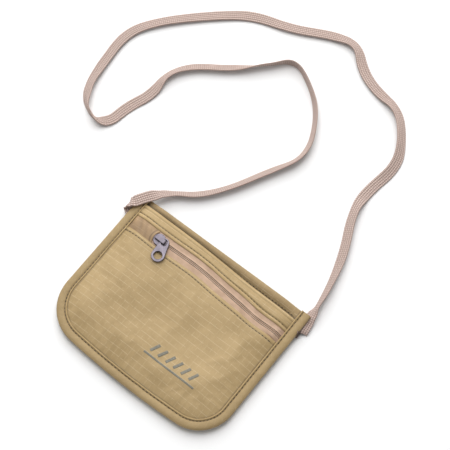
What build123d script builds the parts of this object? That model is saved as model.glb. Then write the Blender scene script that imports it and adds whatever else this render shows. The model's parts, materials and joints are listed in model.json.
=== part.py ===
from build123d import *
import math
import os

# Neck pouch wallet: a flat zipped fabric pouch on a narrow braided neck strap.
# Millimetres. The pouch lies on its back on the floor (Z = 0), +X to the wearer's left along
# the mouth, +Y towards the mouth, origin under the middle of the pouch.

os.makedirs("parts", exist_ok=True)

# ---------------------------------------------------------------- outline of the pouch
WIDTH = 125.0
BOTTOM_Y = -49.3
TOP_Y = 48.7                  # top edge of the back panel
BINDING_TOP_LEFT = 48.7
BINDING_TOP_RIGHT = 49.3      # the right end of the binding stands a little proud
BOTTOM_RADIUS = 520.0         # the bottom edge is bowed
BOTTOM_X = 5.0                # its lowest point
LEFT_RADIUS = 26.5
RIGHT_RADIUS = 24.0
OPEN_TOP = 60.0               # layers are built past the mouth, then trimmed

# ---------------------------------------------------------------- edge binding
BINDING_WIDTH = 6.2
BINDING_THICK = 0.5
EDGE_BOTTOM = 2.75            # underside of the binding, clear of the floor
EDGE_TOP = 5.25
EDGE_GAP = 0.5                # the layers stop inside the binding's fold
FLANGE_IN = 7.0               # the layers lie flat as far in as this
THREAD_IN = 5.0               # the seam runs this far in from the outline
THREAD_WIDE = 0.4
THREAD_HIGH = 0.15

# ---------------------------------------------------------------- fabric layers, bottom to top
FABRIC = 0.5
HEM_EXTRA = 0.3               # the turned hem inside the back panel's top edge
HEM_DEPTH = 7.0
DIVIDER_TOP = 5.65
FRONT_TOP = 8.4
BACK_FLANGE_BOTTOM = EDGE_BOTTOM + BINDING_THICK
DIVIDER_FLANGE_TOP = BACK_FLANGE_BOTTOM + 2 * FABRIC
FRONT_FLANGE_TOP = EDGE_TOP - BINDING_THICK

# ---------------------------------------------------------------- mouth and zip
MOUTH_Y = 43.5
MOUTH_TILT = -0.7             # degrees, the mouth edge drops a little to the right
ZIP_Y = 30.1
ZIP_TILT = -1.7               # degrees
WINDOW_HALF = 5.3             # half the height of the zip's window
TAPE = 0.4
TAPE_MARGIN = 3.0             # sewn under the fabric above and below the window
TAPE_LEFT = -51.0
TAPE_RIGHT = 51.0
GAP_HALF = 0.5                # slot along the middle of the chain
COIL_HALF = 2.3
COIL_CORE_HALF = 1.3
COIL_HIGH = 0.85
COIL_PITCH = 1.3
COIL_FILL = 0.8               # length of one coil turn
TAB_RIGHT = -37.4             # right edge of the tab that covers the end of the zip

# ---------------------------------------------------------------- slider and pull
SLIDER_X = -35.4              # at rest, the zip closed, along the zip
SLIDER_R = 3.75
SLIDER_TAIL_R = 2.3
SLIDER_TAIL_X = 3.0
PLATE = 0.8
LOWER_PLATE = 0.5
CLEAR = 0.25                  # running clearance of the slider on the tape and the coils
WEB_HALF = 0.25
RAIL = 0.6
CROWN_HALF = 1.2
CROWN_THICK = 0.9
POST_X = 3.9                  # the crown's foot, which the pull hangs on
POST_HALF = 0.55
PULL_THICK = 1.0
PULL_EYE_R = 2.9
PULL_HOLE_WIDE = 3.0
PULL_HOLE_LONG = 3.9
PULL_REACH = 8.6              # from the eye to the finger ring
PULL_RING_R = 4.1
PULL_RING_HOLE = 2.5
PULL_ANGLE = -77.6            # degrees, the way the pull points at rest

TAPE_TOP = FRONT_TOP - FABRIC
TAPE_BOTTOM = TAPE_TOP - TAPE
COIL_BOTTOM = TAPE_BOTTOM - COIL_HIGH
PLATE_BOTTOM = TAPE_TOP + CLEAR
PLATE_TOP = PLATE_BOTTOM + PLATE
LOWER_TOP = COIL_BOTTOM - CLEAR
LOWER_BOTTOM = LOWER_TOP - LOWER_PLATE
PULL_BOTTOM = PLATE_TOP + CLEAR
PULL_TOP = PULL_BOTTOM + PULL_THICK
CROWN_BOTTOM = PULL_TOP + CLEAR
CROWN_TOP = CROWN_BOTTOM + CROWN_THICK

# ---------------------------------------------------------------- strap
STRAP_WIDE = 7.0              # the flat braid
STRAP_THICK = 1.1
STRAP_TUBE_R = 1.5            # round tube with nearly the braid's section
TAIL_OUT = 63.5               # the sewn ends stand 1 mm out of the binding
TAIL_IN = 56.2
LEFT_TAIL_Y = 39.0
RIGHT_TAIL_Y = 37.5
BARTACK_LONG = 5.2
BARTACK_WIDE = 1.4
BARTACK_HIGH = 0.2
STRAP_ROUTE = [
    (-63.5, 39.0, 2.2), (-68.0, 39.0, 2.2), (-68.2, 44.0, 6.5), (-66.0, 48.0, 9.9),
    (-57.5, 54.0, 9.9), (-49.0, 61.0, 4.0), (-36.0, 69.5, 1.6), (-24.5, 85.5, 1.6), (-13.5, 107.0, 1.6),
    (-0.5, 129.5, 1.6), (-13.0, 156.0, 1.6), (-30.0, 170.0, 1.6), (-46.5, 177.5, 1.6),
    (-57.0, 163.5, 1.6), (-74.0, 147.0, 1.6), (-93.0, 134.5, 1.6), (-103.0, 121.0, 1.6),
    (-100.5, 104.0, 1.6), (-107.0, 88.0, 1.6), (-109.0, 71.5, 1.6), (-123.0, 68.0, 1.6),
    (-135.0, 82.0, 1.6), (-138.5, 103.0, 1.6), (-140.5, 128.0, 1.6), (-128.0, 147.5, 1.6),
    (-105.5, 170.5, 1.6), (-86.0, 186.0, 1.6), (-61.0, 192.5, 1.6), (-38.0, 205.0, 1.6),
    (-22.0, 209.5, 1.6), (-9.0, 197.0, 1.6), (6.0, 191.0, 1.6), (24.0, 189.0, 1.6),
    (37.0, 175.0, 1.6), (46.0, 157.5, 1.6), (41.5, 133.0, 1.6), (42.0, 117.0, 1.6),
    (54.0, 93.0, 1.6), (61.5, 67.5, 1.6), (67.5, 54.0, 1.8), (69.5, 45.5, 2.0),
    (69.0, 37.5, 2.2), (63.5, 37.5, 2.2),
]


def save(node, shape):
    export_step(shape, f"parts/{node}.step")


def outline(side_in, bottom_in, top=OPEN_TOP):
    """Face inside the pouch's outline, set in by the given amounts, open stretch at the top."""
    left = -WIDTH / 2 + side_in
    right = WIDTH / 2 - side_in
    bottom_r = BOTTOM_RADIUS - bottom_in
    bottom_centre = Vector(BOTTOM_X, BOTTOM_Y + bottom_in + bottom_r)
    ends = []
    for x_side, radius, inward in ((left, LEFT_RADIUS - side_in, 1), (right, RIGHT_RADIUS - side_in, -1)):
        centre_x = x_side + inward * radius
        drop = math.sqrt((bottom_r - radius) ** 2 - (bottom_centre.X - centre_x) ** 2)
        centre = Vector(centre_x, bottom_centre.Y - drop)
        to_bottom = (centre - bottom_centre).normalized()
        to_side = Vector(-inward, 0)
        side_point = centre + to_side * radius
        bottom_point = centre + to_bottom * radius
        middle = centre + (to_side + to_bottom).normalized() * radius
        ends.append((side_point, middle, bottom_point))
    (left_side, left_middle, left_bottom), (right_side, right_middle, right_bottom) = ends
    lowest = Vector(BOTTOM_X, BOTTOM_Y + bottom_in)
    edges = [
        Line((left, top), left_side),
        ThreePointArc(left_side, left_middle, left_bottom),
        ThreePointArc(left_bottom, lowest, right_bottom),
        ThreePointArc(right_bottom, right_middle, right_side),
        Line(right_side, (right, top)),
        Line((right, top), (left, top)),
    ]
    return make_face(edges)


def slab(face, low, high):
    return extrude(Pos(0, 0, low) * face, amount=high - low)


def band(outer_in, inner_in, low, high):
    """Flat strip that follows the outline on the left, bottom and right."""
    return slab(outline(outer_in, outer_in), low, high) - slab(outline(inner_in, inner_in), low, high)


def filled(flange_z, top_z, side_in, bottom_in, far_z):
    """Solid between a dished surface and the level far_z: a flat flange, a skirt and a flat middle."""
    prism = slab(outline(EDGE_GAP, EDGE_GAP), min(flange_z, far_z), max(flange_z, far_z))
    rim = Pos(0, 0, flange_z) * outline(FLANGE_IN, FLANGE_IN)
    middle = Pos(0, 0, top_z) * outline(side_in, bottom_in)
    return prism + loft([rim, middle], ruled=True)


def layer(flange_z, top_z, side_in, bottom_in, thickness):
    """One sheet of cloth: the dished surface, and the same surface lower by its thickness."""
    far_z = -5.0
    whole = filled(flange_z, top_z, side_in, bottom_in, far_z)
    return whole - Pos(0, 0, -thickness) * whole


def block(x_low, x_high, y_low, y_high, z_low=-10.0, z_high=30.0):
    middle = Pos((x_low + x_high) / 2, (y_low + y_high) / 2, (z_low + z_high) / 2)
    return middle * Box(x_high - x_low, y_high - y_low, z_high - z_low)


def on_zip(shape):
    """From the zip's own axes, along and across its middle line, to the pouch's."""
    return Pos(0, ZIP_Y, 0) * Rot(0, 0, ZIP_TILT) * shape


def on_slider(shape):
    return on_zip(Pos(SLIDER_X, 0, 0) * shape)


def below_mouth(extra=0.0):
    return Pos(0, MOUTH_Y + extra, 0) * Rot(0, 0, MOUTH_TILT) * block(-90, 90, -200, 0)


def make_back_panel():
    far_z = 12.0
    whole = filled(BACK_FLANGE_BOTTOM, 0.0, 18.0, 18.0, far_z)
    sheet = (whole - Pos(0, 0, FABRIC) * whole) & block(-90, 90, -90, TOP_Y)
    hem = block(-43.0, 43.0, TOP_Y - HEM_DEPTH, TOP_Y, FABRIC, FABRIC + HEM_EXTRA)
    return sheet + hem


def make_divider():
    return layer(DIVIDER_FLANGE_TOP, DIVIDER_TOP, 12.0, 16.0, FABRIC) & below_mouth()


def make_front_layer():
    return layer(FRONT_FLANGE_TOP, FRONT_TOP, 10.8, 20.0, FABRIC)


def make_front_panel(front):
    return front & on_zip(block(-90, 90, -200, -WINDOW_HALF))


def make_top_strip(front):
    """The strip above the zip, with the turned edge that closes the zip pocket at the mouth."""
    strip = front & on_zip(block(-90, 90, WINDOW_HALF, 60)) & below_mouth()
    lip = block(-49.5, 49.5, -200, 200, DIVIDER_TOP, FRONT_TOP - FABRIC) & below_mouth()
    return strip + (lip - below_mouth(-FABRIC))


def make_end_tab(front):
    tab = front & on_zip(block(-90, TAB_RIGHT, -WINDOW_HALF, WINDOW_HALF))
    hollow = on_slider(Pos(0, 0, 7) * Cylinder(SLIDER_R + 0.45, 14))
    return tab - hollow


def make_tape(side):
    """One half of the zip tape: in the window as wide as the pouch, under the fabric only between skirts."""
    sheet = layer(FRONT_FLANGE_TOP, TAPE_TOP, 10.8, 20.0, TAPE)
    near, far = sorted((side * GAP_HALF, side * WINDOW_HALF))
    seen = sheet & on_zip(block(TAPE_LEFT, 90, near, far))
    low, high = sorted((side * WINDOW_HALF, side * (WINDOW_HALF + TAPE_MARGIN)))
    margin = on_zip(block(TAPE_LEFT + 1, TAPE_RIGHT - 1, low, high, TAPE_BOTTOM, TAPE_TOP))
    return seen + margin


def make_coil(side):
    """One row of the coil zip: the sewn core and its turns, which reach to the middle slot."""
    low, high = sorted((side * COIL_CORE_HALF, side * COIL_HALF))
    core = block(TAPE_LEFT + 1, TAPE_RIGHT - 1, low, high, COIL_BOTTOM, TAPE_BOTTOM)
    near, far = sorted((side * GAP_HALF, side * COIL_CORE_HALF))
    turns = []
    count = int((TAPE_RIGHT - TAPE_LEFT - 3) / COIL_PITCH)
    for index in range(count):
        start = TAPE_LEFT + 1.5 + index * COIL_PITCH
        turns.append(block(start, start + COIL_FILL, near, far, COIL_BOTTOM + 0.1, TAPE_BOTTOM - 0.1))
    return on_zip(core + turns)


def make_binding():
    """The folded tape round the left, bottom and right edges: two legs and the fold between them."""
    whole = band(0.0, BINDING_WIDTH, EDGE_BOTTOM, EDGE_TOP)
    inside = band(EDGE_GAP, BINDING_WIDTH + 1, BACK_FLANGE_BOTTOM, FRONT_FLANGE_TOP)
    left_end = block(-90, 0, -90, BINDING_TOP_LEFT)
    right_end = block(0, 90, -90, BINDING_TOP_RIGHT)
    return (whole - inside) & (left_end + right_end)


def make_binding_thread():
    half = THREAD_WIDE / 2
    front_row = band(THREAD_IN - half, THREAD_IN + half, EDGE_TOP, EDGE_TOP + THREAD_HIGH)
    back_row = band(THREAD_IN - half, THREAD_IN + half, EDGE_BOTTOM - THREAD_HIGH, EDGE_BOTTOM)
    rows = (front_row + back_row) & block(-90, 90, -90, TOP_Y - 0.5)
    tails = block(-TAIL_OUT, -TAIL_IN, LEFT_TAIL_Y - 4, LEFT_TAIL_Y + 4, 0, EDGE_BOTTOM)
    tails += block(TAIL_IN, TAIL_OUT, RIGHT_TAIL_Y - 4, RIGHT_TAIL_Y + 4, 0, EDGE_BOTTOM)
    return rows - tails


def make_zip_thread(side):
    """A row of stitches along one side of the window, on the fabric."""
    middle = side * (WINDOW_HALF + 1.5)
    half = THREAD_WIDE / 2
    return on_zip(block(-50, 50, middle - half, middle + half, FRONT_TOP, FRONT_TOP + THREAD_HIGH))


def make_hem_thread():
    top = FABRIC + HEM_EXTRA
    middle = TOP_Y - HEM_DEPTH + 1.5
    return block(-42, 42, middle - THREAD_WIDE / 2, middle + THREAD_WIDE / 2, top, top + THREAD_HIGH)


def slider_outline():
    """A round shoulder that narrows to a rounded tail."""
    lean = math.asin((SLIDER_R - SLIDER_TAIL_R) / SLIDER_TAIL_X)
    away = Vector(math.sin(lean), math.cos(lean))
    corner = away * SLIDER_R
    tail = Vector(SLIDER_TAIL_X, 0) + away * SLIDER_TAIL_R
    sides = Polyline(
        (corner.X, corner.Y), (tail.X, tail.Y), (tail.X, -tail.Y), (corner.X, -corner.Y), close=True
    )
    return Circle(SLIDER_R) + make_face(sides) + Pos(SLIDER_TAIL_X, 0) * Circle(SLIDER_TAIL_R)


def make_slider_body():
    """Upper and lower plate, the web that joins them in the slot, and the lower plate's side rails."""
    plan = slider_outline()
    upper = slab(plan, PLATE_BOTTOM, PLATE_TOP)
    upper = fillet(upper.faces().sort_by(Axis.Z)[-1].edges(), 0.25)
    lower = slab(plan, LOWER_BOTTOM, LOWER_TOP)
    web = block(-3.4, -1.0, -WEB_HALF, WEB_HALF, LOWER_TOP - 0.1, PLATE_BOTTOM + 0.1)
    rails = block(-2.0, 1.6, COIL_HALF + 0.3, COIL_HALF + 0.3 + RAIL, LOWER_TOP - 0.1, TAPE_BOTTOM - CLEAR)
    rails += mirror(rails, about=Plane.XZ)
    return on_slider(upper + lower + web + rails)


def make_slider_crown():
    """The bridge over the upper plate, from a broad heel to the narrow foot that the pull hangs on."""
    bar = block(-2.8, POST_X + POST_HALF, -CROWN_HALF, CROWN_HALF, CROWN_BOTTOM, CROWN_TOP)
    heel = block(-2.8, -0.6, -CROWN_HALF, CROWN_HALF, PLATE_TOP, CROWN_BOTTOM)
    foot = block(
        POST_X - POST_HALF, POST_X + POST_HALF, -POST_HALF, POST_HALF, PLATE_TOP, CROWN_BOTTOM
    )
    ends = bar.edges().filter_by(Axis.Y).group_by(Axis.Z)[-1]
    return on_slider(fillet(ends, 0.6) + heel + foot)


def make_pull():
    """Flat plate with an eye at one end and a finger ring at the other."""
    lean = math.asin((PULL_RING_R - PULL_EYE_R) / PULL_REACH)
    away = Vector(-math.sin(lean), math.cos(lean))
    eye_side = away * PULL_EYE_R
    ring_side = Vector(PULL_REACH, 0) + away * PULL_RING_R
    plate = make_face(
        Polyline(
            (eye_side.X, eye_side.Y),
            (ring_side.X, ring_side.Y),
            (ring_side.X, -ring_side.Y),
            (eye_side.X, -eye_side.Y),
            close=True,
        )
    )
    plan = Circle(PULL_EYE_R) + plate + Pos(PULL_REACH, 0) * Circle(PULL_RING_R)
    plan -= SlotOverall(PULL_HOLE_LONG, PULL_HOLE_WIDE)
    plan -= Pos(PULL_REACH, 0) * Circle(PULL_RING_HOLE)
    solid = slab(plan, PULL_BOTTOM, PULL_TOP)
    solid = fillet(solid.faces().sort_by(Axis.Z)[-1].edges(), 0.3)
    return on_slider(Pos(POST_X, 0, 0) * Rot(0, 0, PULL_ANGLE - ZIP_TILT) * solid)


def make_strap_end(side, middle_y):
    """The end of the strap, sewn flat under the binding at the back."""
    low, high = sorted((side * TAIL_IN, side * TAIL_OUT))
    half = STRAP_WIDE / 2
    return block(low, high, middle_y - half, middle_y + half, EDGE_BOTTOM - STRAP_THICK, EDGE_BOTTOM)


def make_bartack(side, middle_y):
    middle_x = side * (WIDTH / 2 - BINDING_WIDTH / 2)
    under = EDGE_BOTTOM - STRAP_THICK
    return block(
        middle_x - BARTACK_WIDE / 2, middle_x + BARTACK_WIDE / 2,
        middle_y - BARTACK_LONG / 2, middle_y + BARTACK_LONG / 2,
        under - BARTACK_HIGH, under,
    )


def make_print():
    """A plain printed device: a row of slanted bars over a line."""
    high = 0.1
    shapes = [block(0.5, 36.5, -27.6, -26.4, FRONT_TOP, FRONT_TOP + high)]
    slant = Rot(0, 0, -25)
    for index in range(6):
        bar = block(-0.9, 0.9, -3.2, 3.2, FRONT_TOP, FRONT_TOP + high)
        shapes.append(Pos(4.5 + index * 5.6, -21.6, 0) * slant * bar)
    return Compound(shapes)


def make_strap():
    """Round tube along the strap's route: straight runs joined by arcs as large as the runs allow."""
    points = [Vector(*point) for point in STRAP_ROUTE]
    radii = []
    arcs_shorten = 0.0
    for before, here, after in zip(points, points[1:], points[2:]):
        run_in = here - before
        run_out = after - here
        half_turn = math.radians(run_in.get_angle(run_out)) / 2
        radius = 0.45 * min(run_in.length, run_out.length) / math.tan(half_turn)
        radii.append(radius)
        arcs_shorten += 2 * radius * (math.tan(half_turn) - half_turn)
    runs = sum((after - before).length for before, after in zip(points, points[1:]))
    path = FilletPolyline(*points, radius=radii)
    start = Plane(origin=points[0], z_dir=points[1] - points[0])
    tube = sweep(start * Circle(STRAP_TUBE_R), path=path)
    length = runs - arcs_shorten
    section = math.pi * STRAP_TUBE_R**2
    print("strap radii", [round(radius, 1) for radius in radii])
    print("strap length", round(length, 1), "volume", round(tube.volume, 1), "section x length",
          round(section * length, 1))
    return tube


front_layer = make_front_layer()
save("back_panel", make_back_panel())
save("pocket_divider", make_divider())
save("front_panel", make_front_panel(front_layer))
save("front_top_strip", make_top_strip(front_layer))
save("zip_end_tab", make_end_tab(front_layer))
save("edge_binding", make_binding())
save("zip_tape_upper", make_tape(1))
save("zip_tape_lower", make_tape(-1))
save("zip_coil_upper", make_coil(1))
save("zip_coil_lower", make_coil(-1))
save("slider_body", make_slider_body())
save("slider_crown", make_slider_crown())
save("pull_tab", make_pull())
save("binding_stitching", make_binding_thread())
save("zip_upper_stitching", make_zip_thread(1))
save("zip_lower_stitching", make_zip_thread(-1))
save("hem_stitching", make_hem_thread())
save("strap_end_left", make_strap_end(-1, LEFT_TAIL_Y))
save("strap_end_right", make_strap_end(1, RIGHT_TAIL_Y))
save("bartack_left", make_bartack(-1, LEFT_TAIL_Y))
save("bartack_right", make_bartack(1, RIGHT_TAIL_Y))
save("printed_mark", make_print())
save("neck_strap", make_strap())
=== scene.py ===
import json
import math

import bpy
from mathutils import Matrix, Vector, noise
from mathutils.bvhtree import BVHTree


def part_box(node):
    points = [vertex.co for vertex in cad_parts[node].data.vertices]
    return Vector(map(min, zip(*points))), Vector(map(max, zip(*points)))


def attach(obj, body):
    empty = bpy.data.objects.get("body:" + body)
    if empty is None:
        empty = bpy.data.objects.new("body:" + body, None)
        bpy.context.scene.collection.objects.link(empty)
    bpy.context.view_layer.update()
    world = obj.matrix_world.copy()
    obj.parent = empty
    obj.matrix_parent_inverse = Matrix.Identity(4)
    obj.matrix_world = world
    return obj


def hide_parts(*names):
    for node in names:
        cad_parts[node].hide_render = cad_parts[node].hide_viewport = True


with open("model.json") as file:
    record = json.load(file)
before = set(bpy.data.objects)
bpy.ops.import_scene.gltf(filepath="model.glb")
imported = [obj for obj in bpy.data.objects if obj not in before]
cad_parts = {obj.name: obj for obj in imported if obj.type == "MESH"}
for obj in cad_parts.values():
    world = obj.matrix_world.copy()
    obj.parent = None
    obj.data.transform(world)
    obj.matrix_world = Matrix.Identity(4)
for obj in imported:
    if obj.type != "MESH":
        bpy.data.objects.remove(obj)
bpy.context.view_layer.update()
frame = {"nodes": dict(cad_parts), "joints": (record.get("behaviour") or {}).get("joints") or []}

# A flat zipped neck pouch of ripstop cloth, lying on its back, with its braided strap laid
# out on the floor behind it. All lengths are in metres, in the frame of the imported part.

MM = 0.001

# ---- sizes from the frame
BINDING_LOW, BINDING_HIGH = (Vector(corner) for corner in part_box("edge_binding"))
LEFT, RIGHT = BINDING_LOW.x, BINDING_HIGH.x
BOTTOM = BINDING_LOW.y
BACK_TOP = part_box("back_panel")[1][1]
FRONT_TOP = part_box("front_panel")[1][2]
TAPE_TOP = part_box("zip_tape_upper")[1][2]
MOUTH = 44.3 * MM
BINDING_TOP_LEFT = 48.7 * MM
BINDING_TOP_RIGHT = BINDING_HIGH.y
SLIDE = next(joint for joint in frame["joints"] if joint["name"] == "slider_slide")
SWIVEL = next(joint for joint in frame["joints"] if joint["name"] == "pull_swivel")
ZIP_TILT = math.atan2(SLIDE["axis"][1], SLIDE["axis"][0])
PULL_POST = Vector(SWIVEL["pos_m"])
ZIP_ORIGIN = Vector((0.0, PULL_POST.y - PULL_POST.x * math.tan(ZIP_TILT), 0.0))
SLIDER = sum((Vector(corner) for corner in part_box("slider_body")), Vector()) / 2
TAB_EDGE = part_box("zip_end_tab")[1][0]
STRAP_END_LEFT = [Vector(corner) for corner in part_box("strap_end_left")]
STRAP_END_RIGHT = [Vector(corner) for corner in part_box("strap_end_right")]

# ---- driving dimensions
BOTTOM_RADIUS = 520 * MM
BOTTOM_X = 5 * MM
LEFT_RADIUS = 26.5 * MM
RIGHT_RADIUS = 24 * MM
BINDING_WIDTH = 6.2 * MM
CLOTH = 0.22 * MM
SEAM_IN = 5.0 * MM
SEAM_ROW = 2.0 * MM
STITCH = 2.6 * MM
ZIP_STITCH = 2.35 * MM
THREAD_SHOWN = 0.62       # share of each stitch that lies on top of the cloth
UNDER_TAPE = 3 * MM       # where the cloth starts, in from the binding's outer edge
TAB_OVERLAP = 2.2 * MM    # how far the tab runs under the turned edges beside it
BACK_HEM = 7 * MM
RIB_PITCH_Y = 4.0 * MM
RIB_PITCH_X = 3.6 * MM
WEAVE_PITCH = 0.42 * MM

STRAP_WIDE = 7.0 * MM
STRAP_THICK = 1.1 * MM
RIBS = 5                  # plaits across the braid
STRAP_FROM = -60.2 * MM   # the sewn ends stop here, short of the folds
STRAP_TO = 59.3 * MM
SEWN_OUT = 0.95 * MM      # the coil's sewing, out from the zip's line


# ---- helpers: meshes
def clamp(value, low=0.0, high=1.0):
    return max(low, min(high, value))


def mix(a, b, t):
    return a + (b - a) * t


def smooth(low, high, value):
    """0 at low, 1 at high, with an easy start and end; low may be the greater."""
    t = clamp((value - low) / (high - low))
    return t * t * (3 - 2 * t)


def wobble(x, y, size, seed=0.0):
    """Smooth noise from about -1 to 1, with features of the given size."""
    return noise.noise(Vector((x / size + seed * 7.31, y / size - seed * 3.17, seed)))


def bump_at(value, centre, wide):
    """1 at the centre, falling to 0 on both sides."""
    return math.exp(-(((value - centre) / wide) ** 2))


def mesh_object(name, vertices, faces, uvs=None):
    mesh = bpy.data.meshes.new(name)
    mesh.from_pydata([tuple(v) for v in vertices], [], faces)
    mesh.validate()
    if uvs:
        layer = mesh.uv_layers.new(name="UVMap")
        for loop in mesh.loops:
            layer.data[loop.index].uv = uvs[loop.vertex_index]
    for polygon in mesh.polygons:
        polygon.use_smooth = True
    obj = bpy.data.objects.new(name, mesh)
    bpy.context.scene.collection.objects.link(obj)
    return obj


def grid_object(name, rows, uvs=None, closed=False):
    """Mesh over rows of points, each row as long as the others; closed joins each row's ends."""
    across = len(rows[0])
    faces = []
    for i in range(len(rows) - 1):
        for j in range(across if closed else across - 1):
            k = (j + 1) % across
            faces.append((i * across + j, i * across + k, (i + 1) * across + k, (i + 1) * across + j))
    if closed:
        faces.append(tuple(reversed(range(across))))
        last = (len(rows) - 1) * across
        faces.append(tuple(range(last, last + across)))
    vertices = [point for row in rows for point in row]
    flat_uvs = [uv for row in uvs for uv in row] if uvs else None
    return mesh_object(name, vertices, faces, flat_uvs)


def thicken(obj, thickness, offset=-1.0):
    solid = obj.modifiers.new("thickness", "SOLIDIFY")
    solid.thickness = thickness
    solid.offset = offset
    solid.use_even_offset = False


# ---- helpers: the outline
def outline_parts():
    """The centres of the two corner arcs and of the bowed bottom."""
    bottom_centre = Vector((BOTTOM_X, BOTTOM + BOTTOM_RADIUS))
    corners = []
    for centre_x, radius in ((LEFT + LEFT_RADIUS, LEFT_RADIUS), (RIGHT - RIGHT_RADIUS, RIGHT_RADIUS)):
        drop = math.sqrt((BOTTOM_RADIUS - radius) ** 2 - (BOTTOM_X - centre_x) ** 2)
        corners.append(Vector((centre_x, bottom_centre.y - drop)))
    return corners[0], corners[1], bottom_centre


LEFT_CENTRE, RIGHT_CENTRE, BOTTOM_CENTRE = outline_parts()


def inset_at(x, y):
    """How far a point lies inside the left, bottom and right edges."""
    point = Vector((x, y))
    if x < LEFT_CENTRE.x and y < LEFT_CENTRE.y:
        return LEFT_RADIUS - (point - LEFT_CENTRE).length
    if x > RIGHT_CENTRE.x and y < RIGHT_CENTRE.y:
        return RIGHT_RADIUS - (point - RIGHT_CENTRE).length
    side = min(x - LEFT, RIGHT - x)
    return min(side, BOTTOM_RADIUS - (point - BOTTOM_CENTRE).length)


def bottom_at(x, inset):
    """The y of the bottom edge at x, set in by the given amount."""
    radius = BOTTOM_RADIUS - inset
    y = BOTTOM_CENTRE.y - math.sqrt(radius**2 - (x - BOTTOM_CENTRE.x) ** 2)
    for centre, corner, outside in (
        (LEFT_CENTRE, LEFT_RADIUS, x < LEFT_CENTRE.x),
        (RIGHT_CENTRE, RIGHT_RADIUS, x > RIGHT_CENTRE.x),
    ):
        if outside:
            reach = (corner - inset) ** 2 - (x - centre.x) ** 2
            y = centre.y - math.sqrt(max(0.0, reach))
    return y


def outline_track(step, top_left, top_right):
    """Points and inward normals along the outline, from the left top round to the right top."""
    track = []
    turn = (LEFT_CENTRE - BOTTOM_CENTRE).normalized()
    left_end = math.atan2(turn.y, turn.x)
    turn = (RIGHT_CENTRE - BOTTOM_CENTRE).normalized()
    right_start = math.atan2(turn.y, turn.x)

    def straight(x, y_from, y_to, normal):
        count = max(2, round(abs(y_to - y_from) / step))
        for i in range(count):
            track.append((Vector((x, mix(y_from, y_to, i / count))), normal))

    def arc(centre, radius, angle_from, angle_to):
        count = max(2, round(abs(angle_to - angle_from) * radius / step))
        for i in range(count):
            angle = mix(angle_from, angle_to, i / count)
            away = Vector((math.cos(angle), math.sin(angle)))
            track.append((centre + away * radius, -away))

    straight(LEFT, top_left, LEFT_CENTRE.y, Vector((1, 0)))
    arc(LEFT_CENTRE, LEFT_RADIUS, -math.pi, left_end)
    arc(BOTTOM_CENTRE, BOTTOM_RADIUS, left_end, right_start)
    arc(RIGHT_CENTRE, RIGHT_RADIUS, right_start, 0.0)
    straight(RIGHT, RIGHT_CENTRE.y, top_right, Vector((-1, 0)))
    track.append((Vector((RIGHT, top_right)), Vector((-1, 0))))
    return track


# ---- helpers: the zip's line
def zip_wave(x):
    """The zip isn't straight: it bows towards the mouth past the slider, and away from it further on."""
    return 1.5 * MM * bump_at(x, -6 * MM, 20 * MM) - 0.85 * MM * bump_at(x, 38.5 * MM, 9.5 * MM)


def zip_y(x):
    return ZIP_ORIGIN.y + x * math.tan(ZIP_TILT) + zip_wave(x)


def upper_fold(x):
    return zip_y(x) + 4.7 * MM + 0.2 * MM * wobble(x, 0, 22 * MM, 1)


def lower_fold(x):
    half = mix(4.9 * MM, 4.0 * MM, smooth(5 * MM, 45 * MM, x))
    return zip_y(x) - half + 0.2 * MM * wobble(x, 0, 26 * MM, 2)


def mouth_y(x):
    """The mouth's edge: straight for the first third, then it drops to the right."""
    return MOUTH - 2.2 * MM * smooth(-22 * MM, 36 * MM, x) + 0.15 * MM * wobble(x, 0, 18 * MM, 3)


# ---- helpers: heights
FLANGE_FRONT = 4.95 * MM
FLANGE_BACK = 3.0 * MM


def bulge(x, y, reach):
    inside = (inset_at(x, y) - BINDING_WIDTH + 0.6 * MM) / reach
    return 1 - (1 - clamp(inside)) ** 2


def front_z(x, y):
    """Height of the front cloth: bound at the edges, raised in the middle, lower at the mouth."""
    reach = mix(19 * MM, 11 * MM, smooth(5 * MM, 26 * MM, y))
    height = mix(FLANGE_FRONT, FRONT_TOP - 0.12 * MM, bulge(x, y, reach))
    to_mouth = smooth(36 * MM, 45 * MM, y)
    return height - to_mouth * 2.3 * MM * bulge(x, 0, 11 * MM)


def tape_z(x, y):
    """Middle of the tape's thickness: level in the window, under the cloth around it."""
    low = 0.35 * MM * smooth(TAB_EDGE + 1 * MM, TAB_EDGE - 6 * MM, x)
    level = TAPE_TOP - 0.28 * MM
    window = smooth(3.8 * MM, 2.8 * MM, abs(y - zip_y(x))) * smooth(RIGHT - 6.3 * MM, RIGHT - 11.5 * MM, x)
    window *= smooth(TAB_EDGE, TAB_EDGE + 4 * MM, x)
    return mix(min(front_z(x, y) - 0.66 * MM, level), level, window) - low


def divider_z(x, y):
    return min(front_z(x, y) - 0.95 * MM, 5.4 * MM)


def back_z(x, y):
    """Height of the back cloth: bound at the edges, flat on the floor in the middle."""
    height = mix(FLANGE_BACK, 0.28 * MM, bulge(x, y, 15 * MM))
    between = bulge(x, 0, 15 * MM)
    height = mix(height, 2.0 * MM, smooth(18 * MM, 42 * MM, y) * between)
    return height + 2.1 * MM * smooth(42.5 * MM, 47.5 * MM, y) * between


# ---- materials
def socket(tree, target, value):
    if isinstance(value, bpy.types.NodeSocket):
        tree.links.new(value, target)
    else:
        target.default_value = value


def calc(tree, operation, *values):
    node = tree.nodes.new("ShaderNodeMath")
    node.operation = operation
    for target, value in zip(node.inputs, values):
        socket(tree, target, value)
    return node.outputs[0]


def blend_colour(tree, factor, first, second, how="MIX"):
    node = tree.nodes.new("ShaderNodeMix")
    node.data_type = "RGBA"
    node.blend_type = how
    socket(tree, node.inputs[0], factor)
    socket(tree, node.inputs[6], first)
    socket(tree, node.inputs[7], second)
    return node.outputs[2]


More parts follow.
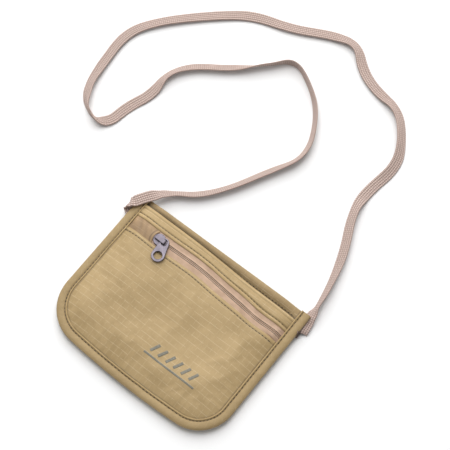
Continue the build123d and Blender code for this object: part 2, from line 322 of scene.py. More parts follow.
def remap(tree, value, low, high, to_low=0.0, to_high=1.0):
    node = tree.nodes.new("ShaderNodeMapRange")
    node.interpolation_type = "SMOOTHSTEP"
    for target, item in zip(node.inputs, (value, low, high, to_low, to_high)):
        socket(tree, target, item)
    return node.outputs[0]


def noise_value(tree, vector, scale, detail=2.0, rough=0.5):
    node = tree.nodes.new("ShaderNodeTexNoise")
    socket(tree, node.inputs["Vector"], vector)
    node.inputs["Scale"].default_value = scale
    node.inputs["Detail"].default_value = detail
    node.inputs["Roughness"].default_value = rough
    return node.outputs["Fac"]


def stretched(tree, vector, scale, turn=0.0):
    node = tree.nodes.new("ShaderNodeMapping")
    socket(tree, node.inputs["Vector"], vector)
    node.inputs["Scale"].default_value = scale
    node.inputs["Rotation"].default_value = (0, 0, turn)
    return node.outputs["Vector"]


def first_two(tree, vector):
    """The x and y of a vector."""
    split = tree.nodes.new("ShaderNodeSeparateXYZ")
    tree.links.new(vector, split.inputs[0])
    return split.outputs[0], split.outputs[1]


def line_mask(tree, value, pitch, width):
    """1 on thin lines a pitch apart, 0 between them."""
    cell = calc(tree, "FRACT", calc(tree, "DIVIDE", value, pitch))
    away = calc(tree, "ABSOLUTE", calc(tree, "SUBTRACT", cell, 0.5))
    return remap(tree, away, 0.25 * width / pitch, 0.75 * width / pitch, 1.0, 0.0)


def wave(tree, value, pitch):
    return calc(tree, "SINE", calc(tree, "MULTIPLY", value, 2 * math.pi / pitch))


def start_material(name, roughness, metallic=0.0, sheen=0.0):
    material = bpy.data.materials.new(name)
    material.use_nodes = True
    tree = material.node_tree
    shader = tree.nodes["Principled BSDF"]
    shader.inputs["Roughness"].default_value = roughness
    shader.inputs["Metallic"].default_value = metallic
    shader.inputs["Sheen Weight"].default_value = sheen
    where = tree.nodes.new("ShaderNodeTexCoord")
    return material, tree, shader, where


def add_bump(tree, shader, height, distance):
    node = tree.nodes.new("ShaderNodeBump")
    node.inputs["Strength"].default_value = 1.0
    node.inputs["Distance"].default_value = distance
    tree.links.new(height, node.inputs["Height"])
    tree.links.new(node.outputs["Normal"], shader.inputs["Normal"])


def ripstop(name, dark, light, line, use_uv=False, turn=0.0):
    """Plain woven nylon with a grid of heavier threads, seen as broken light lines."""
    material, tree, shader, where = start_material(name, 0.62, sheen=0.08)
    place = stretched(tree, where.outputs["UV" if use_uv else "Object"], (1, 1, 1), turn)
    x, y = first_two(tree, place)
    drift = noise_value(tree, place, 60, 2)
    x_bent = calc(tree, "ADD", x, calc(tree, "MULTIPLY", drift, 0.6 * MM))
    y_bent = calc(tree, "ADD", y, calc(tree, "MULTIPLY", drift, 0.6 * MM))
    rows = line_mask(tree, y_bent, RIB_PITCH_Y, 0.22 * MM)
    columns = line_mask(tree, x_bent, RIB_PITCH_X, 0.30 * MM)
    dashes = remap(tree, noise_value(tree, stretched(tree, place, (1, 4, 1)), 420, 1), 0.34, 0.50)
    column_dashes = remap(tree, noise_value(tree, stretched(tree, place, (4, 1, 1)), 420, 1), 0.40, 0.60)
    row_light = calc(tree, "MULTIPLY", rows, dashes)
    column_light = calc(tree, "MULTIPLY", columns, column_dashes)
    threads = calc(tree, "MULTIPLY", wave(tree, x, WEAVE_PITCH), wave(tree, y, WEAVE_PITCH))
    patches = noise_value(tree, place, 45, 3, 0.6)
    grain = noise_value(tree, place, 2600, 1)
    tone = calc(tree, "ADD", calc(tree, "MULTIPLY", patches, 0.7), calc(tree, "MULTIPLY", grain, 0.3))
    colour = blend_colour(tree, remap(tree, tone, 0.3, 0.7), dark, light)
    fine = calc(tree, "MULTIPLY_ADD", threads, 0.05, 1.0)
    colour = blend_colour(tree, 1.0, colour, combine_grey(tree, fine), "MULTIPLY")
    colour = blend_colour(tree, calc(tree, "MULTIPLY", row_light, 0.58), colour, line)
    colour = shaded(tree, blend_colour(tree, calc(tree, "MULTIPLY", column_light, 0.24), colour, line))
    tree.links.new(colour, shader.inputs["Base Color"])
    grid = calc(tree, "MULTIPLY", calc(tree, "MAXIMUM", rows, columns), 0.8)
    height = calc(tree, "MULTIPLY_ADD", threads, 0.35, grid)
    height = calc(tree, "ADD", height, calc(tree, "MULTIPLY", noise_value(tree, place, 500, 2), 0.8))
    add_bump(tree, shader, height, 0.05 * MM)
    return material


def shaded(tree, colour):
    """The colour, with painted shade in the grooves and creases and a painted highlight on the lips that
    the mesh's shade attribute marks.
    """
    mark = tree.nodes.new("ShaderNodeAttribute")
    mark.attribute_name = "shade"
    grey = combine_grey(tree, calc(tree, "SUBTRACT", 1.0, mark.outputs["Fac"]))
    return blend_colour(tree, 1.0, colour, grey, "MULTIPLY")


def combine_grey(tree, value):
    node = tree.nodes.new("ShaderNodeCombineColor")
    for target in node.inputs[:3]:
        socket(tree, target, value)
    return node.outputs[0]


def ink_material():
    """Grey ink that sits on the threads, so that the weave shows through."""
    material, tree, shader, where = start_material("print_ink_grey", 0.7)
    x, y = first_two(tree, where.outputs["Object"])
    weave = calc(tree, "MULTIPLY", wave(tree, x, WEAVE_PITCH), wave(tree, y, WEAVE_PITCH))
    wear = noise_value(tree, where.outputs["Object"], 1500, 2)
    tone = calc(tree, "MULTIPLY_ADD", weave, 0.2, wear)
    tone = remap(tree, tone, 0.3, 0.8)
    colour = blend_colour(tree, tone, (0.17, 0.165, 0.135, 1), (0.275, 0.255, 0.195, 1))
    tree.links.new(colour, shader.inputs["Base Color"])
    add_bump(tree, shader, weave, 0.03 * MM)
    return material


TAPE_DARK = (0.42, 0.275, 0.182, 1)
TAPE_LIGHT = (0.60, 0.415, 0.295, 1)


def zip_tape_material():
    """Fine ribs across and along the tape."""
    material, tree, shader, where = start_material("zip_tape_weave", 0.7, sheen=0.2)
    x, y = first_two(tree, where.outputs["UV"])
    along = wave(tree, y, 0.85 * MM)
    across = wave(tree, x, 0.6 * MM)
    weave = calc(tree, "MULTIPLY", along, across)
    patches = noise_value(tree, where.outputs["UV"], 160, 2)
    tone = calc(tree, "MULTIPLY_ADD", weave, 0.22, calc(tree, "MULTIPLY", patches, 0.9))
    colour = shaded(tree, blend_colour(tree, remap(tree, tone, 0.1, 0.8), TAPE_DARK, TAPE_LIGHT))
    tree.links.new(colour, shader.inputs["Base Color"])
    add_bump(tree, shader, calc(tree, "MULTIPLY_ADD", along, 0.6, weave), 0.06 * MM)
    return material


def thread_material(name, dark, light):
    """Two-ply spun thread."""
    material, tree, shader, where = start_material(name, 0.6, sheen=0.2)
    strands = noise_value(tree, stretched(tree, where.outputs["Object"], (1, 1, 1), 0.6), 1800, 2)
    tree.links.new(blend_colour(tree, strands, dark, light), shader.inputs["Base Color"])
    add_bump(tree, shader, strands, 0.05 * MM)
    return material


def braid_material():
    """Flat braid: lengthwise ribs, each a row of small V stitches."""
    material, tree, shader, where = start_material("strap_braid_weave", 0.75, sheen=0.15)
    along, across = first_two(tree, where.outputs["UV"])
    cell = calc(tree, "FRACT", calc(tree, "MULTIPLY", across, RIBS / STRAP_WIDE))
    cell = calc(tree, "SUBTRACT", cell, 0.5)
    from_middle = calc(tree, "ABSOLUTE", cell)
    slant = calc(tree, "MULTIPLY_ADD", from_middle, 1.3 * MM, along)
    stitches = wave(tree, slant, 1.25 * MM)
    valley = remap(tree, from_middle, 0.24, 0.44)
    stitch_light = remap(tree, stitches, -0.6, 0.6)
    fuzz = noise_value(tree, where.outputs["UV"], 1100, 2)
    # Painted shading: lighter on the stitch crests and darker between them, with painted shade in the
    # valleys between the plaits.
    colour = blend_colour(tree, stitch_light, (0.45, 0.315, 0.265, 1), (0.71, 0.565, 0.505, 1))
    colour = blend_colour(tree, calc(tree, "MULTIPLY", valley, 0.85), colour, (0.36, 0.24, 0.195, 1))
    colour = blend_colour(tree, calc(tree, "MULTIPLY", fuzz, 0.15), colour, (0.70, 0.56, 0.50, 1))
    tree.links.new(colour, shader.inputs["Base Color"])
    height = calc(tree, "SUBTRACT", stitch_light, calc(tree, "MULTIPLY", valley, 1.3))
    add_bump(tree, shader, height, 0.25 * MM)
    return material


def metal_material():
    """Dark cast zinc with a satin gunmetal plating, paler where it rubs."""
    material, tree, shader, where = start_material("gunmetal_plating", 0.38, metallic=0.7)
    spots = noise_value(tree, where.outputs["Object"], 900, 3, 0.6)
    cloud = noise_value(tree, where.outputs["Object"], 220, 2)
    tone = calc(tree, "MULTIPLY_ADD", spots, 0.5, calc(tree, "MULTIPLY", cloud, 0.5))
    tone = remap(tree, tone, 0.3, 0.7)
    colour = blend_colour(tree, tone, (0.105, 0.092, 0.112, 1), (0.20, 0.178, 0.21, 1))
    tree.links.new(colour, shader.inputs["Base Color"])
    tree.links.new(remap(tree, spots, 0.2, 0.8, 0.30, 0.52), shader.inputs["Roughness"])
    add_bump(tree, shader, spots, 0.03 * MM)
    return material


def coil_material():
    material, tree, shader, where = start_material("zip_coil_nylon", 0.42)
    cloud = noise_value(tree, where.outputs["Object"], 700, 2)
    colour = blend_colour(tree, cloud, (0.045, 0.034, 0.032, 1), (0.085, 0.064, 0.058, 1))
    tree.links.new(colour, shader.inputs["Base Color"])
    add_bump(tree, shader, cloud, 0.03 * MM)
    return material


def floor_material():
    material, tree, shader, where = start_material("studio_floor", 0.9)
    cloud = noise_value(tree, where.outputs["Object"], 3, 2)
    colour = blend_colour(tree, cloud, (0.90, 0.90, 0.90, 1), (0.92, 0.92, 0.92, 1))
    tree.links.new(colour, shader.inputs["Base Color"])
    return material


def paint(obj, *materials):
    obj.data.materials.clear()
    for material in materials:
        obj.data.materials.append(material)


CLOTH_DARK = (0.355, 0.245, 0.106, 1)
CLOTH_LIGHT = (0.445, 0.315, 0.150, 1)
CLOTH_LINE = (0.66, 0.53, 0.345, 1)
FRONT_CLOTH = ripstop("front_ripstop_weave", CLOTH_DARK, CLOTH_LIGHT, CLOTH_LINE)
TAB_CLOTH = ripstop("tab_weave", (0.28, 0.18, 0.092, 1), (0.36, 0.238, 0.128, 1), (0.46, 0.33, 0.20, 1))
PLAIN_CLOTH = ripstop("ripstop_weave", CLOTH_DARK, CLOTH_LIGHT, CLOTH_LINE)
BACK_CLOTH = ripstop("back_ripstop_weave", (0.32, 0.218, 0.096, 1), (0.40, 0.28, 0.134, 1), CLOTH_LINE)
LINING = ripstop("lining_weave", (0.26, 0.185, 0.095, 1), (0.32, 0.23, 0.125, 1), (0.40, 0.31, 0.19, 1))
BIAS_CLOTH = ripstop(
    "binding_weave", (0.325, 0.225, 0.100, 1), (0.40, 0.282, 0.130, 1), (0.45, 0.33, 0.18, 1),
    use_uv=True, turn=math.radians(45),
)
TAPE_WEAVE = zip_tape_material()
THREAD = thread_material("seam_thread", (0.20, 0.135, 0.055, 1), (0.34, 0.24, 0.11, 1))
# Dark blobs at the needle holes, standing for the shadow down in each hole: painted shadow.
HOLE_SHADOW = thread_material("needle_hole_shadow", (0.030, 0.019, 0.008, 1), (0.055, 0.036, 0.015, 1))
COIL_THREAD = thread_material("coil_thread", (0.040, 0.026, 0.024, 1), (0.075, 0.05, 0.045, 1))
BRAID = braid_material()
INK = ink_material()
METAL = metal_material()
COIL = coil_material()


# ---- camera and light
def add_camera():
    data = bpy.data.cameras.new("camera")
    data.lens = 128
    data.sensor_width = 36
    data.clip_end = 10
    camera = bpy.data.objects.new("camera", data)
    bpy.context.scene.collection.objects.link(camera)
    camera.location = (0.1993, -0.2041, 0.8872)
    target = Vector((-0.0130, 0.0648, 0.0))
    camera.rotation_euler = (target - camera.location).to_track_quat("-Z", "Y").to_euler()
    bpy.context.scene.camera = camera


def add_area(name, place, size, power, target=(0, 0.06, 0)):
    data = bpy.data.lights.new(name, "AREA")
    data.shape = "DISK"
    data.size = size
    data.energy = power
    light = bpy.data.objects.new(name, data)
    bpy.context.scene.collection.objects.link(light)
    light.location = place
    light.rotation_euler = (Vector(target) - Vector(place)).to_track_quat("-Z", "Y").to_euler()


def add_stage():
    floor = grid_object(
        "studio_floor",
        [[(x * 1.5, y * 1.5, 0) for x in range(-2, 3)] for y in range(-2, 3)],
    )
    paint(floor, floor_material())
    world = bpy.data.worlds.new("studio")
    bpy.context.scene.world = world
    world.use_nodes = True
    world.node_tree.nodes["Background"].inputs["Color"].default_value = (1, 1, 1, 1)
    world.node_tree.nodes["Background"].inputs["Strength"].default_value = 0.34
    add_area("key_light", (-0.60, 0.80, 0.95), 2.0, 26)
    add_area("top_light", (-0.3, 0.1, 1.5), 0.9, 6)
    bpy.context.scene.view_settings.view_transform = "Standard"


# ---- strap
def lying(x, y, lean):
    """A route point on the floor: the braid's middle is half as high as the leaning braid stands."""
    angle = math.radians(lean)
    height = (STRAP_WIDE * abs(math.sin(angle)) + STRAP_THICK * abs(math.cos(angle))) / 2
    return (x, y, height + 0.05 * MM, lean)


# The route's points: place, height, and how the braid lies there, which is either its lean from
# flat in degrees, or the direction across it where it is folded over at its two ends.
STRAP_ROUTE = [
    (-0.0604, 0.0352, 0.0022, (0.87, 0.50, 0)), (-0.0620, 0.0366, 0.0022, (0.87, 0.50, 0)),
    (-0.0641, 0.0376, 0.0023, (0.87, 0.50, -0.1)), (-0.0651, 0.0386, 0.0046, (0, 0.50, -0.87)),
    (-0.0643, 0.0400, 0.0069, (-0.70, 0.50, -0.50)), (-0.0623, 0.0418, 0.0073, (-0.92, 0.38, 0)),
    (-0.0602, 0.0456, 0.0073, (-0.87, 0.50, 0)), (-0.0572, 0.0502, 0.0069, (-0.82, 0.57, 0)),
    (-0.0536, 0.0560, 0.0044, -30), (-0.0475, 0.0618, 0.0030, -46), lying(-0.0360, 0.0695, -40),
    lying(-0.0242, 0.0851, -46), lying(-0.0133, 0.1067, -44), lying(-0.0005, 0.1292, -58),
    lying(-0.0130, 0.1557, 110), lying(-0.0293, 0.1690, 98), lying(-0.0456, 0.1763, 88),
    lying(-0.0567, 0.1631, 74), lying(-0.0740, 0.1470, 34), lying(-0.0930, 0.1345, 34),
    lying(-0.1024, 0.1203, 44), lying(-0.1009, 0.1045, 6), lying(-0.1076, 0.0885, 0),
    lying(-0.1100, 0.0717, 6), lying(-0.1229, 0.0688, 94), lying(-0.1350, 0.0820, 144),
    lying(-0.1385, 0.1030, 162), lying(-0.1405, 0.1280, 168), lying(-0.1280, 0.1475, 162),
    lying(-0.1053, 0.1702, 168), lying(-0.0860, 0.1860, 176), lying(-0.0612, 0.1928, 166),
    lying(-0.0382, 0.2053, 166), lying(-0.0220, 0.2095, 150), lying(-0.0090, 0.1970, 168),
    lying(0.0060, 0.1910, 168), lying(0.0240, 0.1890, 146), lying(0.0370, 0.1750, 142),
    lying(0.0454, 0.1581, 160), lying(0.0406, 0.1339, 180), lying(0.0420, 0.1170, 220),
    lying(0.0540, 0.0930, 217), lying(0.0598, 0.0700, 236), lying(0.0615, 0.0570, 246),
    (0.0620, 0.0505, 0.0028, 208), (0.0628, 0.0455, 0.0022, (1, 0.05, 0.05)),
    (0.0633, 0.0417, 0.0021, (0.92, 0.38, 0.03)), (0.0635, 0.0395, 0.0018, (0.74, 0.67, 0)),
    (0.0633, 0.0387, 0.0011, (0.70, 0.71, 0)), (0.0622, 0.0384, 0.0008, (0.40, 0.92, 0)),
    (0.0608, 0.0380, 0.0014, (0.10, 1, 0)), (0.0592, 0.0375, 0.0022, (0, 1, 0)),
]


def strap_line():
    """The line that a NURBS spline draws over the route, as points."""
    curve = bpy.data.curves.new("strap_route", "CURVE")
    curve.dimensions = "3D"
    curve.resolution_u = 16
    spline = curve.splines.new("NURBS")
    spline.points.add(len(STRAP_ROUTE) - 1)
    for point, place in zip(spline.points, STRAP_ROUTE):
        point.co = (*place[:3], 1)
    spline.order_u = 3
    spline.use_endpoint_u = True
    holder = bpy.data.objects.new("strap_route", curve)
    mesh = bpy.data.meshes.new_from_object(holder)
    points = [vertex.co.copy() for vertex in mesh.vertices]
    bpy.data.meshes.remove(mesh)
    bpy.data.objects.remove(holder)
    bpy.data.curves.remove(curve)
    return points


def route_acrosses():
    """The direction across the braid at each point of the route."""
    acrosses = []
    last = len(STRAP_ROUTE) - 1
    for i, (*_, lie) in enumerate(STRAP_ROUTE):
        if isinstance(lie, tuple):
            across = Vector(lie).normalized()
        else:
            before, after = STRAP_ROUTE[max(i - 1, 0)], STRAP_ROUTE[min(i + 1, last)]
            ahead = (Vector(after[:3]) - Vector(before[:3])).normalized()
            side = Vector((0, 0, 1)).cross(ahead).normalized()
            across = side * math.cos(math.radians(lie)) + ahead.cross(side) * math.sin(math.radians(lie))
        if acrosses and across.dot(acrosses[-1]) < 0:
            across = -across
        acrosses.append(across)
    return acrosses


def across_along(acrosses, share):
    """The direction across the braid at a share of the spline, from 0 to 1."""
    place = share * (len(acrosses) - 2) + 0.5
    index = int(clamp(math.floor(place), 0, len(acrosses) - 2))
    return acrosses[index].lerp(acrosses[index + 1], smooth(0, 1, place - index))


def braid_section(count=56):
    """Section of the flat braid, rounded at its edges, with a rib for each plait on both faces."""
    section = []
    for i in range(count):
        angle = 2 * math.pi * i / count
        across = math.copysign(abs(math.cos(angle)) ** 0.75, math.cos(angle))
        up = math.copysign(abs(math.sin(angle)) ** 0.4, math.sin(angle))
        rib = abs(math.sin(math.pi * RIBS * (across + 1) / 2))
        section.append((across * STRAP_WIDE / 2, up * STRAP_THICK / 2 * (0.62 + 0.38 * rib)))
    return section


def braid_ribbon(name, line, frames):
    """Flat braid along a line; frames holds the direction across the braid and the one out of it."""
    section = braid_section()
    rows, uvs = [], []
    run = 0.0
    for i, point in enumerate(line):
        if i:
            run += (point - line[i - 1]).length
        across, out = frames[i]
        rows.append([point + across * a + out * b for a, b in section])
        uvs.append([(run, a + STRAP_WIDE / 2) for a, _ in section])
    ribbon = grid_object(name, rows, uvs, closed=True)
    paint(ribbon, BRAID)
    return ribbon


def add_strap():
    line = strap_line()
    acrosses = route_acrosses()
    frames = []
    for i in range(len(line)):
        ahead = (line[min(i + 1, len(line) - 1)] - line[max(i - 1, 0)]).normalized()
        across = across_along(acrosses, i / (len(line) - 1))
        across = (across - ahead * across.dot(ahead)).normalized()
        out = ahead.cross(across)
        frames.append((across, out))
        line[i].z = max(line[i].z, (STRAP_WIDE * abs(across.z) + STRAP_THICK * abs(out.z)) / 2 + 0.03 * MM)
    strap = braid_ribbon("neck_strap_braid", line, frames)
    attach(strap, "pouch")
    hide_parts("neck_strap")
    tuple(line[0])
    [tuple(point) for point in line]


# ---- cloth
def spaced(low, high, step):
    count = max(1, round((high - low) / step))
    return [mix(low, high, i / count) for i in range(count + 1)]


def panel_rows(xs, near, far, step, height):
    """Rows of points from the line near(x) to the line far(x), with one point in each row for each x."""
    count = round(max(abs(far(x) - near(x)) for x in xs) / step)
    rows = []
    for i in range(count + 1):
        ys = [mix(near(x), far(x), i / count) for x in xs]
        rows.append([Vector((x, y, height(x, y))) for x, y in zip(xs, ys)])
    return rows


def turned(rows, depth, radius, side=-1):
    """The rows, with the first edge turned round and laid back: under the cloth, or over it for side 1."""
    step = (rows[1][len(rows[0]) // 2] - rows[0][len(rows[0]) // 2]).length
    count = min(len(rows) - 1, max(1, round(depth / step)))
    lift = Vector((0, 0, 2 * side * radius))
    hem = [[point + lift for point in rows[i]] for i in range(count, -1, -1)]
    fold = []
    for angle in (-60, -20, 20, 60):
        out, up = radius * math.cos(math.radians(angle)), radius * math.sin(math.radians(angle))
        row = []
        for first, second in zip(rows[0], rows[1]):
            away = (first - second).normalized()
            row.append(first + away * out + Vector((0, 0, side * (radius - up))))
        fold.append(row)
    return hem + fold + rows


def seam_dip(away, row=SEAM_ROW):
    """A turned edge: a rounded lip, a groove along its stitches, then the plain cloth."""
    lip = 0.20 * MM * bump_at(away, row / 2, 0.6 * MM)
    groove = 0.50 * MM * bump_at(away, row, 0.42 * MM)
    after = 0.12 * MM * bump_at(away, row + 1.1 * MM, 0.7 * MM)
    return lip - groove + after


def edge_run(x, y):
    """How far along the bound edge a point near it lies, for gathers that run square to the edge."""
    if x < LEFT_CENTRE.x and y < LEFT_CENTRE.y:
        return math.atan2(y - LEFT_CENTRE.y, x - LEFT_CENTRE.x) * LEFT_RADIUS
    if x > RIGHT_CENTRE.x and y < RIGHT_CENTRE.y:
        return math.atan2(y - RIGHT_CENTRE.y, x - RIGHT_CENTRE.x) * RIGHT_RADIUS + 0.2
    return y + 0.4 if min(x - LEFT, RIGHT - x) < y - BOTTOM else x + 0.6


def gathers(x, y, seed):
    """Small puckers where the cloth runs in under the binding."""
    inside = inset_at(x, y) - BINDING_WIDTH
    run = edge_run(x, y)
    fade = math.exp(-((max(0.0, inside - 1 * MM) / (5 * MM)) ** 1.3)) * smooth(-0.4 * MM, 1.2 * MM, inside)
    return fade * 0.45 * MM * wobble(run, seed * 0.01, 3.4 * MM, seed)


def creases(x, y, seed):
    """Broad soft undulations of cloth that isn't pulled tight."""
    broad = 0.50 * MM * wobble(x + 0.4 * y, 0.45 * (y - 0.4 * x), 15 * MM, seed)
    fine = 0.16 * MM * wobble(0.5 * (x - y), 1.2 * (x + y), 9 * MM, seed + 5)
    return (broad + fine) * smooth(0, 9 * MM, inset_at(x, y) - BINDING_WIDTH)


def settle(rows, free, slack, pressure, most):
    """Let the cloth buckle and swell a little: a simulation on the rows, ten times life size."""
    scale = 10.0
    sheet = grid_object("cloth_to_settle", [[point * scale for point in row] for row in rows])
    pins = sheet.vertex_groups.new(name="pins")
    flat = [point for row in rows for point in row]
    for index, point in enumerate(flat):
        pins.add([index], 1 - free(point), "REPLACE")
    cloth = sheet.modifiers.new("cloth", "CLOTH")
    settings = cloth.settings
    settings.vertex_group_mass = "pins"
    settings.quality = 5
    settings.mass = 0.15
    settings.tension_stiffness = 12
    settings.compression_stiffness = 12
    settings.shear_stiffness = 4
    settings.bending_stiffness = 0.15
    settings.shrink_min = -slack
    settings.use_pressure = True
    settings.uniform_pressure_force = pressure
    settings.effector_weights.gravity = 0
    cloth.collision_settings.use_collision = False
    scene = bpy.context.scene
    for frame_number in range(1, 21):
        scene.frame_set(frame_number)
    settled = sheet.evaluated_get(bpy.context.evaluated_depsgraph_get())
    moved = [vertex.co / scale for vertex in settled.data.vertices]
    bpy.data.objects.remove(sheet)
    scene.frame_set(1)
    across = len(rows[0])
    result = []
    for i, row in enumerate(rows):
        new_row = []
        for j, point in enumerate(row):
            shift = moved[i * across + j] - point
            new_row.append(point + shift * min(1.0, most / max(shift.length, 1e-9)))
        result.append(new_row)
    return result


def shade(piece, rule):
    """Write the mesh's shade attribute: above 0 is painted shade in a groove or a crease, below 0 a painted
    highlight on a lip.
    """
    marks = piece.data.attributes.new("shade", "FLOAT", "POINT")
    for vertex, mark in zip(piece.data.vertices, marks.data):
        mark.value = rule(vertex.co.x, vertex.co.y)


def edge_shade(away):
    """Painted shade in the groove along the stitches of a turned edge that is sewn down, and a painted
    highlight on its lip.
    """
    return 0.55 * bump_at(away, SEAM_ROW, 0.30 * MM) - 0.20 * bump_at(away, 0.9 * MM, 0.55 * MM)


# Painted highlight on the mouth's rolled edge, and painted shade just in from it.
def mouth_edge(away):
    return -0.16 * bump_at(away, 0.6 * MM, 0.5 * MM) + 0.12 * bump_at(away, 1.6 * MM, 0.4 * MM)


# Painted shadow on the cloth just inside the binding's lip.
def binding_lip_shadow(x, y):
    return 0.42 * bump_at(inset_at(x, y), BINDING_WIDTH + 0.35 * MM, 0.40 * MM)


def on_pouch(piece, slot, *nodes):
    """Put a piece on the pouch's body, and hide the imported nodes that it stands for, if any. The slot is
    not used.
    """
    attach(piece, "pouch")
    if nodes:
        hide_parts(*nodes)


def finish_cloth(piece, slot, *nodes):
    thicken(piece, CLOTH, 0.0)
    on_pouch(piece, slot, *nodes)


class Surface:
    """The height of a laid cloth at a place, seen from above."""

    def __init__(self, rows):
        across = len(rows[0])
        faces = []
        for i in range(len(rows) - 1):
            for j in range(across - 1):
                k = i * across + j
                faces.append((k, k + 1, k + across + 1, k + across))
        self.tree = BVHTree.FromPolygons([point for row in rows for point in row], faces)

    def at(self, x, y):
        hit = self.tree.ray_cast(Vector((x, y, 0.05)), Vector((0, 0, -1)))[0]
        if hit is None:
            hit = self.tree.find_nearest(Vector((x, y, 0.006)))[0]
        return Vector((x, y, hit.z))


def add_front_panel():
    xs = spaced(LEFT + UNDER_TAPE, RIGHT - UNDER_TAPE, 0.9 * MM)

    def height(x, y):
        base = front_z(x, y) + creases(x, y, 11) + gathers(x, y, 12)
        return base + seam_dip(lower_fold(x) - y)

    rows = panel_rows(xs, lower_fold, lambda x: bottom_at(x, UNDER_TAPE), 0.9 * MM, height)

    def free(point):
        inside = min(inset_at(point.x, point.y) - BINDING_WIDTH, lower_fold(point.x) - point.y - 2 * MM)
        return smooth(0.5 * MM, 7 * MM, inside)

    rows = settle(rows, free, 0.004, 0.06, 1.1 * MM)
    piece = grid_object("front_panel_cloth", turned(rows, 6 * MM, 0.17 * MM))
    paint(piece, FRONT_CLOTH)
    finish_cloth(piece, "front_ripstop", "front_panel")
    # Painted shade and highlight along the zip's turned edge, and painted shadow under the binding's lip.
    shade(piece, lambda x, y: edge_shade(lower_fold(x) - y) + binding_lip_shadow(x, y))
    return Surface(rows)


def add_front_strip():
    xs = spaced(LEFT + UNDER_TAPE, RIGHT - UNDER_TAPE, 0.8 * MM)

    def height(x, y):
        puff = 0.35 * MM * math.sin(math.pi * clamp((y - upper_fold(x)) / (mouth_y(x) - upper_fold(x))))
        ripple = 0.16 * MM * wobble(x, 3 * y, 6 * MM, 21) + 0.14 * MM * wobble(x, y, 14 * MM, 22)
        base = front_z(x, y) + (puff + ripple) * bulge(x, 0, 11 * MM)
        return base + seam_dip(y - upper_fold(x)) + 0.6 * seam_dip(mouth_y(x) - y, 2.2 * MM)

    rows = panel_rows(xs, upper_fold, mouth_y, 0.4 * MM, height)
    folded = turned(rows, 4 * MM, 0.17 * MM)
    folded = turned(list(reversed(folded)), 3 * MM, 0.22 * MM)
    piece = grid_object("front_top_strip_cloth", folded)
    paint(piece, PLAIN_CLOTH)
    finish_cloth(piece, "front_ripstop", "front_top_strip")

    # Painted shade and highlight along the turned edge at the zip and at the mouth's edge, and painted
    # shadow under the binding's lip.
    def painted_shading(x, y):
        edges = edge_shade(y - upper_fold(x)) + mouth_edge(mouth_y(x) - y)
        return edges + binding_lip_shadow(x, y)

    shade(piece, painted_shading)
    return Surface(rows)


def add_end_tab():
    """The cloth tab over the closed end of the zip, its free edge hollowed round the slider."""
    def free_edge(share):
        return SLIDER.x - 1.2 * MM - 3.6 * MM * math.cos(0.5 * math.pi * (2 * share - 1)) ** 0.7

    rows = []
    for i in range(61):
        row = []
        for j in range(41):
            share, forward = j / 40, i / 60
            x = mix(LEFT + UNDER_TAPE, free_edge(share), forward)
            y = mix(lower_fold(x) - TAB_OVERLAP, upper_fold(x) + TAB_OVERLAP, share)
            open_part = math.sin(math.pi * clamp((share - 0.14) / 0.72))
            under = min(front_z(x, y) - 0.62 * MM, TAPE_TOP - 0.1 * MM)
            lift = smooth(0.84, 1.0, forward) * 0.9 * MM
            pleats = 0.75 * MM * wobble(x + 0.5 * y, 0.35 * y, 3.4 * MM, 31)
            ripple = pleats + 0.22 * MM * wobble(x, y, 6 * MM, 32)
            z = under + open_part * ((0.45 * MM + ripple) * bulge(x, y, 6 * MM) + lift)
            row.append(Vector((x, y, z)))
        rows.append(row)
    folded = turned(list(reversed(rows)), 2 * MM, 0.16 * MM)
    piece = grid_object("zip_end_tab_cloth", folded)
    paint(piece, TAB_CLOTH)
    finish_cloth(piece, "front_ripstop", "zip_end_tab")

    # Painted shade a little in from the free edge, a painted highlight on its rim, and painted shading of
    # the pleats, lighter on their crests and darker in their hollows.
    def painted_shading(x, y):
        low, high = lower_fold(x) - TAB_OVERLAP, upper_fold(x) + TAB_OVERLAP
        ahead = free_edge(clamp((y - low) / (high - low))) - x
        pleat_shading = 0.45 * wobble(x + 0.5 * y, 0.35 * y, 3.4 * MM, 31)
        return 0.40 * bump_at(ahead, 1.7 * MM, 0.5 * MM) - 0.20 * bump_at(ahead, 0.5 * MM, 0.5 * MM) - pleat_shading

    shade(piece, painted_shading)


def add_divider():
    xs = spaced(LEFT + UNDER_TAPE, RIGHT - UNDER_TAPE, 2 * MM)

    def height(x, y):
        return divider_z(x, y) + 0.12 * MM * wobble(x, y, 17 * MM, 41) * bulge(x, y, 12 * MM)

    rows = panel_rows(
        xs, lambda x: mouth_y(x) - 0.9 * MM, lambda x: bottom_at(x, UNDER_TAPE), 2 * MM, height
    )
    piece = grid_object("pocket_divider_cloth", turned(rows, 6 * MM, 0.15 * MM))
    paint(piece, LINING)
    finish_cloth(piece, "lining_cloth", "pocket_divider")


def back_top_y(x):
    return mix(BACK_TOP, BACK_TOP + 0.5 * MM, smooth(-50 * MM, 55 * MM, x)) - 0.25 * MM


def add_back_panel():
    xs = spaced(LEFT + UNDER_TAPE, RIGHT - UNDER_TAPE, 1.2 * MM)

    def height(x, y):
        loose = smooth(0, 12 * MM, inset_at(x, y) - BINDING_WIDTH)
        rise = max(0.0, wobble(x, y, 20 * MM, 51)) * 0.25 * MM * loose
        return back_z(x, y) + rise - 0.6 * gathers(x, y, 52)

    rows = panel_rows(xs, back_top_y, lambda x: bottom_at(x, UNDER_TAPE), 0.8 * MM, height)
    folded = turned(rows, BACK_HEM, 0.25 * MM, side=1)
    piece = grid_object("back_panel_cloth", folded)
    paint(piece, BACK_CLOTH)
    finish_cloth(piece, "back_ripstop", "back_panel")
    # Painted shade in the mouth's crevice, and painted shadow under the binding's lip.
    shade(piece, lambda x, y: 0.60 * bump_at(y, mouth_y(x) + 1.0 * MM, 1.1 * MM) + binding_lip_shadow(x, y))
    return Surface(folded)


